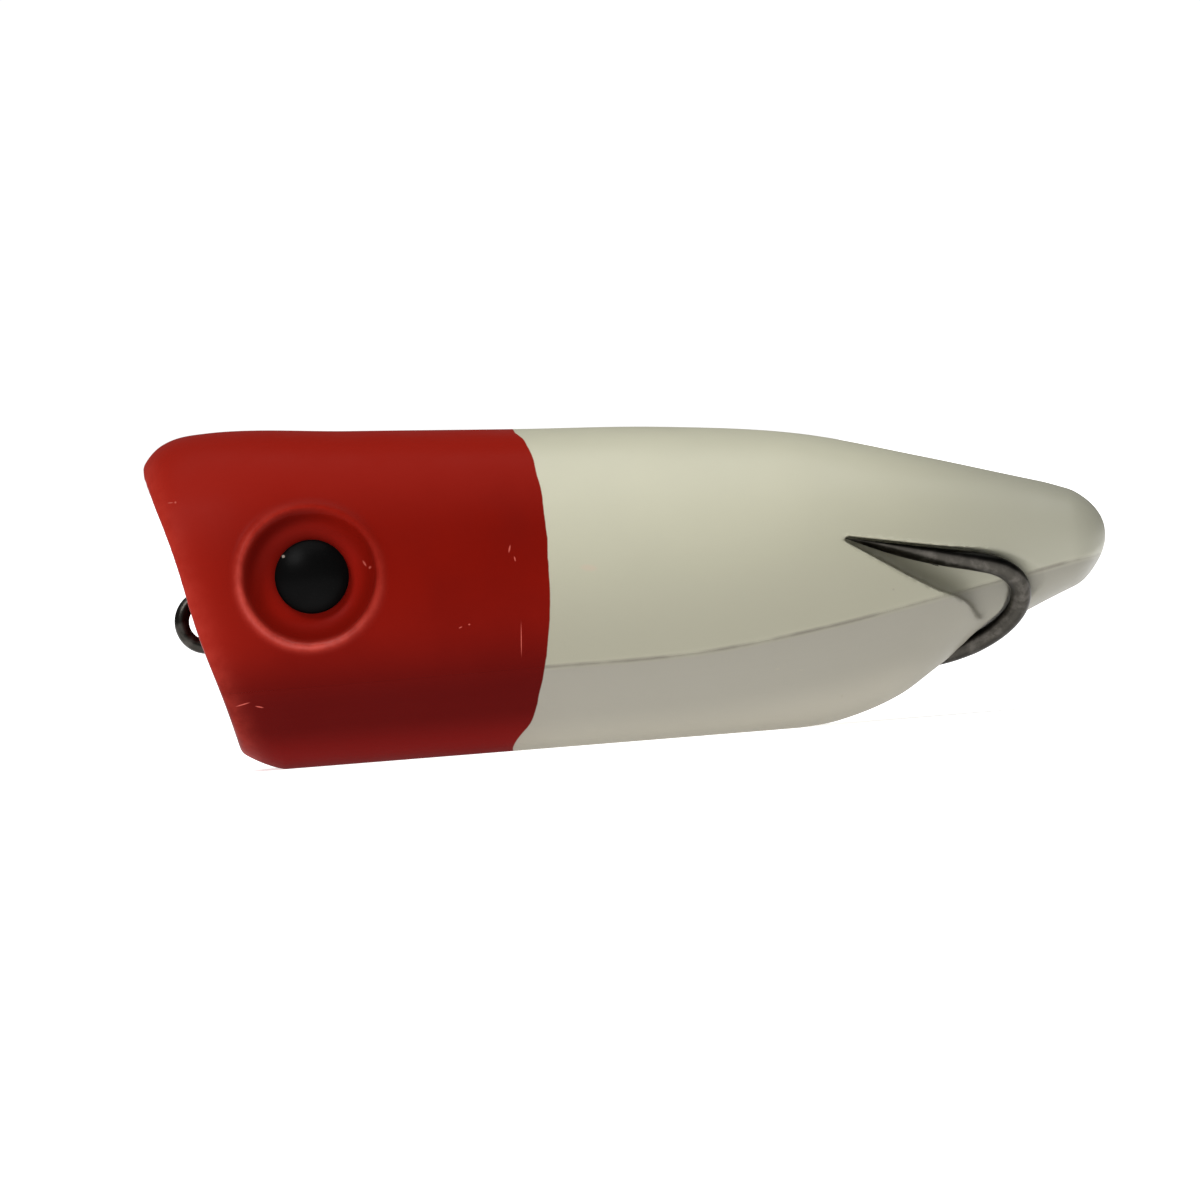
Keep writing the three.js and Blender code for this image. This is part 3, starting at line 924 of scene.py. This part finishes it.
def socket_light_and_shade(point):
    """Painted light and shade in an eye socket: above 0 a painted light round the pupil, below 0 a painted
    shade on the wall up and ahead.
    """
    local = eye_placement(math.copysign(1, point.y)).inverted() @ point
    radius = math.hypot(local.x, local.y)
    if local.z < SOCKET_BOTTOM or radius > SOCKET_BOWL[-1][0]:
        return 0
    up_ahead = (SHADE_UP * (point.z - EYE.z) - SHADE_AHEAD * (point.x - EYE.x)) / LIP_RADIUS
    light_ring = PAINTED_LIGHT_STRENGTH * bell(radius - PAINTED_LIGHT_RING[0], PAINTED_LIGHT_RING[1]) * min(1.0, 0.8 - up_ahead)
    shade_ring = bell(radius - PAINTED_SHADE_RING[0], PAINTED_SHADE_RING[1]) * max(0.0, up_ahead)
    return light_ring - shade_ring


def mark_skin(shell):
    """Stores what the paint needs to know at each point.

    These are the distances ahead of the paint's edge, above the seam and aft of the middle, in millimetres,
    how worn the paint is with its painted highlight, and the painted light and shade in the eye sockets.
    """
    points = [vertex.co / MM for vertex in shell.data.vertices]
    layers = {
        "paint": lambda p: paint_edge_at(p.z) - p.x,
        "seam": lambda p: p.z - seam_at(p.x),
        "aft": lambda p: p.x,
        "edge_wear_and_highlight": edge_wear_and_highlight,
        "socket_light_and_shade": socket_light_and_shade,
    }
    for name, value_at in layers.items():
        layer = shell.data.attributes.new(name, "FLOAT", "POINT")
        layer.data.foreach_set("value", [value_at(p) for p in points])


def shells():
    """The upper and the belly skin: the body parted along the seam, with its groove and its paint marks."""
    body = hull()
    made = []
    for name, direction in (("upper_skin", 1), ("belly_skin", -1)):
        shell = copy_of(body, name)
        combine(shell, seam_block(direction, SEAM_GAP), "INTERSECT")
        mark_skin(shell)
        groove_seam(shell)
        smooth_faces(shell, 40)
        made.append(shell)
    bpy.data.objects.remove(body)
    return made


# ---- Pupils and weight ----


def pupil(name, side):
    """A domed disc with a rolled edge, on the floor of its socket."""
    crown = PUPIL_HEIGHT - PUPIL_EDGE
    ball = (PUPIL_RADIUS**2 + crown**2) / (2 * crown)
    dome_angle = math.asin(PUPIL_RADIUS / ball)
    steps = 24
    profile = [(0, 0)]
    profile += [(PUPIL_RADIUS + past, height) for past, height in PUPIL_FOOT]
    profile += [(PUPIL_RADIUS, PUPIL_EDGE - PUPIL_ROLL)]
    for k in range(steps + 1):
        angle = dome_angle * DOME_SHARE * (1 - k / steps)
        profile.append((ball * math.sin(angle), PUPIL_HEIGHT - ball * (1 - math.cos(angle))))
    made = lathe(name, profile, 72)
    seat = Vector((PUPIL_AFT, 0, GLUE_LINE - SOCKET_DEPTH))
    place(made, eye_placement(side) @ Matrix.Translation(seat))
    smooth_faces(made, 60)
    return made


# ---- Materials ----


class Finish:
    """A material and its node tree. Sizes are in millimetres in the object's own axes."""

    def __init__(self, name):
        self.material = bpy.data.materials.new(name)
        self.material.use_nodes = True
        self.tree = self.material.node_tree
        self.shader = self.tree.nodes["Principled BSDF"]
        self.position = self.tree.nodes.new("ShaderNodeTexCoord").outputs["Object"]

    def feed(self, socket, value):
        if isinstance(value, bpy.types.NodeSocket):
            self.tree.links.new(value, socket)
        elif isinstance(value, tuple):
            socket.default_value = (*value, 1.0)
        else:
            socket.default_value = value

    def set(self, **inputs):
        for name, value in inputs.items():
            self.feed(self.shader.inputs[name.replace("_", " ")], value)

    def attribute(self, name):
        node = self.tree.nodes.new("ShaderNodeAttribute")
        node.attribute_name = name
        return node.outputs["Fac"]

    def noise(self, size, detail=3.0, roughness=0.5):
        """Noise with lumps of about the given size."""
        node = self.tree.nodes.new("ShaderNodeTexNoise")
        node.inputs["Scale"].default_value = 1 / (size * MM)
        node.inputs["Detail"].default_value = detail
        node.inputs["Roughness"].default_value = roughness
        self.feed(node.inputs["Vector"], self.position)
        return node.outputs["Fac"]

    def ramp(self, source, low, high, at_low=0.0, at_high=1.0):
        node = self.tree.nodes.new("ShaderNodeMapRange")
        node.interpolation_type = "SMOOTHSTEP"
        values = (source, low, high, at_low, at_high)
        for socket, value in zip(node.inputs, values):
            self.feed(socket, value)
        return node.outputs["Result"]

    def maths(self, operation, a, b=0.0):
        node = self.tree.nodes.new("ShaderNodeMath")
        node.operation = operation
        self.feed(node.inputs[0], a)
        self.feed(node.inputs[1], b)
        return node.outputs[0]

    def mix(self, share, a, b):
        node = self.tree.nodes.new("ShaderNodeMix")
        node.data_type = "RGBA"
        self.feed(node.inputs["Factor"], share)
        self.feed(node.inputs[6], a)
        self.feed(node.inputs[7], b)
        return node.outputs[2]

    def mark(self, centre, half_size, angle):
        """How far inside a small tilted ellipsoid a point is, from 0 at its surface to 1 near its middle."""
        node = self.tree.nodes.new("ShaderNodeMapping")
        node.vector_type = "TEXTURE"
        node.inputs["Location"].default_value = Vector(centre) * MM
        node.inputs["Rotation"].default_value = (0, -math.radians(angle), 0)
        node.inputs["Scale"].default_value = Vector(half_size) * MM
        self.feed(node.inputs["Vector"], self.position)
        distance = self.tree.nodes.new("ShaderNodeVectorMath")
        distance.operation = "LENGTH"
        self.feed(distance.inputs[0], node.outputs["Vector"])
        return self.ramp(distance.outputs["Value"], 0.45, 1.0, 1.0, 0.0)

    def bump(self, height, depth, strength):
        node = self.tree.nodes.new("ShaderNodeBump")
        node.inputs["Strength"].default_value = strength
        node.inputs["Distance"].default_value = depth * MM
        self.feed(node.inputs["Height"], height)
        self.feed(self.shader.inputs["Normal"], node.outputs["Normal"])


def vinyl_color(finish, above_seam):
    """Off-white soft vinyl, yellowed in clouds, with painted shade towards the seam, greyer and in painted
    shade under it with a painted bounce light towards the bottom, and in painted shade along the tail.
    """
    cloud = finish.ramp(finish.noise(8, 5), 0.35, 0.7)
    color = finish.mix(cloud, VINYL, VINYL_CLOUD)
    # painted shade: darker down towards the seam
    low = finish.ramp(above_seam, 0, 14, 1.0, 0.0)
    color = finish.mix(low, color, VINYL_PAINTED_SHADE)
    # painted bounce light: the belly paler towards its bottom
    painted_bounce = finish.ramp(above_seam, -5.5, -3, 0.5, 0.0)
    belly = finish.mix(painted_bounce, BELLY_GREY_PAINTED_SHADE, BELLY_GREY_PAINTED_BOUNCE)
    # under the seam: a greyer vinyl, partly painted shade
    under = finish.ramp(above_seam, -0.35, 0.1, 1.0, 0.0)
    color = finish.mix(under, color, belly)
    # painted shade: darker towards the tail
    aft = finish.ramp(finish.attribute("aft"), 16, 31, 0.0, 0.55)
    color = finish.mix(aft, color, finish.mix(under, TAIL_UPPER_PAINTED_SHADE, TAIL_LOWER_PAINTED_SHADE))
    broken = finish.ramp(finish.noise(3.0, 2), 0.35, 0.6, 0.2, 0.75)
    line = finish.ramp(finish.maths("ABSOLUTE", above_seam), 0.04, 0.2, 1.0, 0.0)
    color = finish.mix(finish.maths("MULTIPLY", line, broken), color, SEAM_DIRT)
    for centre, half_size, angle in VINYL_PITS:
        color = finish.mix(finish.mark(centre, half_size, angle), color, PIT_DIRT)
    pink = finish.mark(*PINK_SMEAR)
    return finish.mix(finish.maths("MULTIPLY", pink, 0.2), color, PINK)


def paint_color(finish, above_seam):
    """Sprayed red, with painted light on top and towards the nose, painted shade below the seam, a painted
    bounce light along the bottom, painted light and shade in the eye sockets, worn edges with a painted
    highlight, and a few fine scratches.
    """
    cloud = finish.ramp(finish.noise(6, 5), 0.3, 0.75)
    color = finish.mix(cloud, RED, RED_CLOUD)
    # painted light: brighter red on top
    high = finish.ramp(above_seam, 9, 16)
    color = finish.mix(high, color, RED_PAINTED_LIGHT_TOP)
    # painted light: brighter red towards the nose, which faces the light
    front_painted_light = finish.ramp(finish.attribute("aft"), -32, -22, 0.9, 0.0)
    color = finish.mix(front_painted_light, color, RED_PAINTED_LIGHT_FRONT)
    # painted shade: darker red below the seam
    low = finish.ramp(above_seam, -1.5, 4, 0.9, 0.0)
    color = finish.mix(low, color, RED_PAINTED_SHADE_LOW)
    # painted bounce light: brighter red along the bottom
    painted_bounce = finish.ramp(above_seam, -5.2, -2.5, 0.8, 0.0)
    color = finish.mix(painted_bounce, color, RED_PAINTED_BOUNCE)
    # painted light round the pupils and painted shade on the sockets' walls
    socket_shading = finish.attribute("socket_light_and_shade")
    color = finish.mix(finish.ramp(socket_shading, 0, 1, 0.0, 0.9), color, SOCKET_PAINTED_LIGHT)
    color = finish.mix(finish.ramp(socket_shading, -1, 0, 0.9, 0.0), color, SOCKET_PAINTED_SHADE)
    # worn paint with a painted highlight on the cup's lip and on the beads round the eyes
    worn = finish.ramp(finish.noise(1.2, 4, 0.6), 0.3, 0.7, 0.5, 1.0)
    edge = finish.maths("MULTIPLY", worn, finish.attribute("edge_wear_and_highlight"))
    color = finish.mix(edge, color, WORN_RED_AND_HIGHLIGHT)
    for centre, half_size, angle in SCRATCHES:
        color = finish.mix(finish.mark(centre, half_size, angle), color, SCRATCHED_RED)
    return color


def skin_material():
    """Satin soft vinyl with its sprayed red head."""
    finish = Finish("painted_vinyl")
    above_seam = finish.attribute("seam")
    wobble = finish.ramp(finish.noise(2, 4), 0.2, 0.8, -0.05, 0.05)
    red_part = finish.ramp(finish.maths("ADD", finish.attribute("paint"), wobble), -0.04, 0.04)
    vinyl = vinyl_color(finish, above_seam)
    gloss = finish.ramp(finish.noise(3, 4), 0.3, 0.75, 0.33, 0.45)
    finish.set(Base_Color=finish.mix(red_part, vinyl, paint_color(finish, above_seam)), Roughness=gloss)
    rubbed = finish.ramp(finish.attribute("edge_wear_and_highlight"), 0.3, 0.7, 0.02, 0.2)
    finish.set(Specular_IOR_Level=finish.ramp(red_part, 0, 1, 0.2, rubbed))
    finish.bump(finish.noise(0.7, 4), 0.05, 0.12)
    return finish.material


def hook_material():
    """Black nickel over steel wire, paler in patches, with painted shade blackening the upward sides of the
    prongs.
    """
    finish = Finish("black_nickel")
    worn = finish.ramp(finish.noise(0.9, 5, 0.6), 0.42, 0.72)
    color = finish.mix(worn, NICKEL, NICKEL_WORN)
    # painted shade: the upward sides of the prongs turn black, as if shaded by the flank above
    black = finish.ramp(finish.attribute("upward_shade"), -0.15, 0.45, 0.0, 0.95)
    finish.set(Base_Color=finish.mix(black, color, PAINTED_SHADE_BLACK))
    finish.set(Metallic=1.0, Roughness=finish.ramp(worn, 0, 1, 0.3, 0.42))
    finish.bump(finish.noise(0.25, 3), 0.02, 0.1)
    return finish.material


def pupil_material():
    """Black domed plastic, almost without shine, with a little dust and one painted highlight at its upper
    left.
    """
    finish = Finish("pupil_black")
    dust = finish.ramp(finish.noise(0.7, 5), 0.6, 0.9)
    color = finish.mix(dust, PUPIL_BLACK, PUPIL_DUST)
    # painted highlight: a pale spot at the upper left of the left pupil
    finish.set(Base_Color=finish.mix(finish.mark(*PUPIL_PAINTED_GLINT), color, PUPIL_GLINT_COLOR))
    finish.set(Roughness=finish.ramp(dust, 0, 1, 0.32, 0.4), Specular_IOR_Level=0.03)
    finish.bump(finish.noise(0.8, 3), 0.03, 0.15)
    return finish.material


def lead_material():
    """Dull cast lead with a grainy skin and darker oxide in the hollows."""
    finish = Finish("cast_lead")
    grain = finish.noise(0.5, 6, 0.65)
    color = finish.mix(finish.ramp(grain, 0.3, 0.7), LEAD_DARK, LEAD_PALE)
    finish.set(Base_Color=color, Metallic=0.8, Roughness=finish.ramp(grain, 0.3, 0.7, 0.7, 0.5))
    finish.bump(grain, 0.08, 0.4)
    return finish.material


# ---- Stage ----


def floor():
    reach = 40000
    corners = [Vector((x * reach, y * reach, 0)) for x, y in ((-1, -1), (1, -1), (1, 1), (-1, 1))]
    ground = new_object("floor", corners, [(0, 1, 2, 3)])
    finish = Finish("pale_floor")
    finish.set(Base_Color=(0.96, 0.96, 0.96), Roughness=1.0, Specular_IOR_Level=0.0)
    finish.set(Emission_Color=(1.0, 1.0, 1.0), Emission_Strength=FLOOR_GLOW)
    dress(ground, finish.material)
    return ground


def soft_sun(name, towards, strength, spread_angle):
    """A broad even light from the given direction, like a large softbox far away."""
    light = bpy.data.lights.new(name, "SUN")
    light.energy = strength
    light.angle = math.radians(spread_angle)
    made = bpy.data.objects.new(name, light)
    made.rotation_euler = Vector(towards).to_track_quat("Z", "Y").to_euler()
    bpy.context.scene.collection.objects.link(made)
    return made


def studio(ground):
    """Light from overhead and from the upper left of the nose, in a dim even room; the room's walls look as
    pale as the floor. A weaker light from below stands for what pale ground all round would send back up."""
    world = bpy.data.worlds.new("studio")
    world.use_nodes = True
    nodes, links = world.node_tree.nodes, world.node_tree.links
    background = nodes["Background"]
    background.inputs["Color"].default_value = (1, 1, 1, 1)
    rays = nodes.new("ShaderNodeLightPath")
    strength = nodes.new("ShaderNodeMapRange")
    strength.inputs["To Min"].default_value = ROOM_LIGHT
    strength.inputs["To Max"].default_value = WALL_SHADE
    links.new(rays.outputs["Is Camera Ray"], strength.inputs["Value"])
    links.new(strength.outputs["Result"], background.inputs["Strength"])
    bpy.context.scene.world = world
    bpy.context.scene.view_settings.view_transform = "Standard"
    soft_sun("overhead", (0, -0.1, 1), 1.75, 60)
    soft_sun("key", (-0.5, -0.7, 0.8), 1.3, 25)
    bounce = soft_sun("bounce", (0.1, -0.6, -0.9), 0.55, 60)
    passes_through = bpy.data.collections.new("passes_through")
    passes_through.objects.link(ground)
    passes_through.collection_objects[0].light_linking.link_state = "EXCLUDE"
    bounce.light_linking.blocker_collection = passes_through


def camera():
    """Square to the left flank and a touch above it, rolled so that the nose dips."""
    roll = math.radians(4.6)
    rise = math.radians(0.3)
    look_at = Vector((-2.12, 0, 9.63)) * MM
    distance = 2
    view_width = 0.081
    data = bpy.data.cameras.new("camera")
    data.lens = data.sensor_width * distance / view_width
    made = bpy.data.objects.new("camera", data)
    level = Matrix.Rotation(math.pi / 2 - rise, 4, "X")
    made.matrix_world = Matrix.Translation(look_at) @ level @ Matrix.Rotation(-roll, 4, "Z")
    made.matrix_world = made.matrix_world @ Matrix.Translation((0, 0, distance))
    bpy.context.scene.collection.objects.link(made)
    bpy.context.scene.camera = made


# ---- Assembly ----


camera()
studio(floor())

skin = skin_material()
for piece, node, slot_name in zip(shells(), ("upper_shell", "belly_shell"), ("upper_skin", "belly_skin")):
    dress(piece, skin)
    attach(piece, "hull")
    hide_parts(node)

black = pupil_material()
for side_name, side in SIDES.items():
    eye = pupil(side_name + "_eye_dome", side)
    dress(eye, black)
    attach(eye, "hull")
    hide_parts(side_name + "_pupil")

hook = double_hook()
dress(hook, hook_material())
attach(hook, "hook")
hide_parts("double_hook")

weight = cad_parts["keel_weight"]
for material_slot in weight.material_slots:
    material_slot.link = "OBJECT"
    material_slot.material = lead_material()
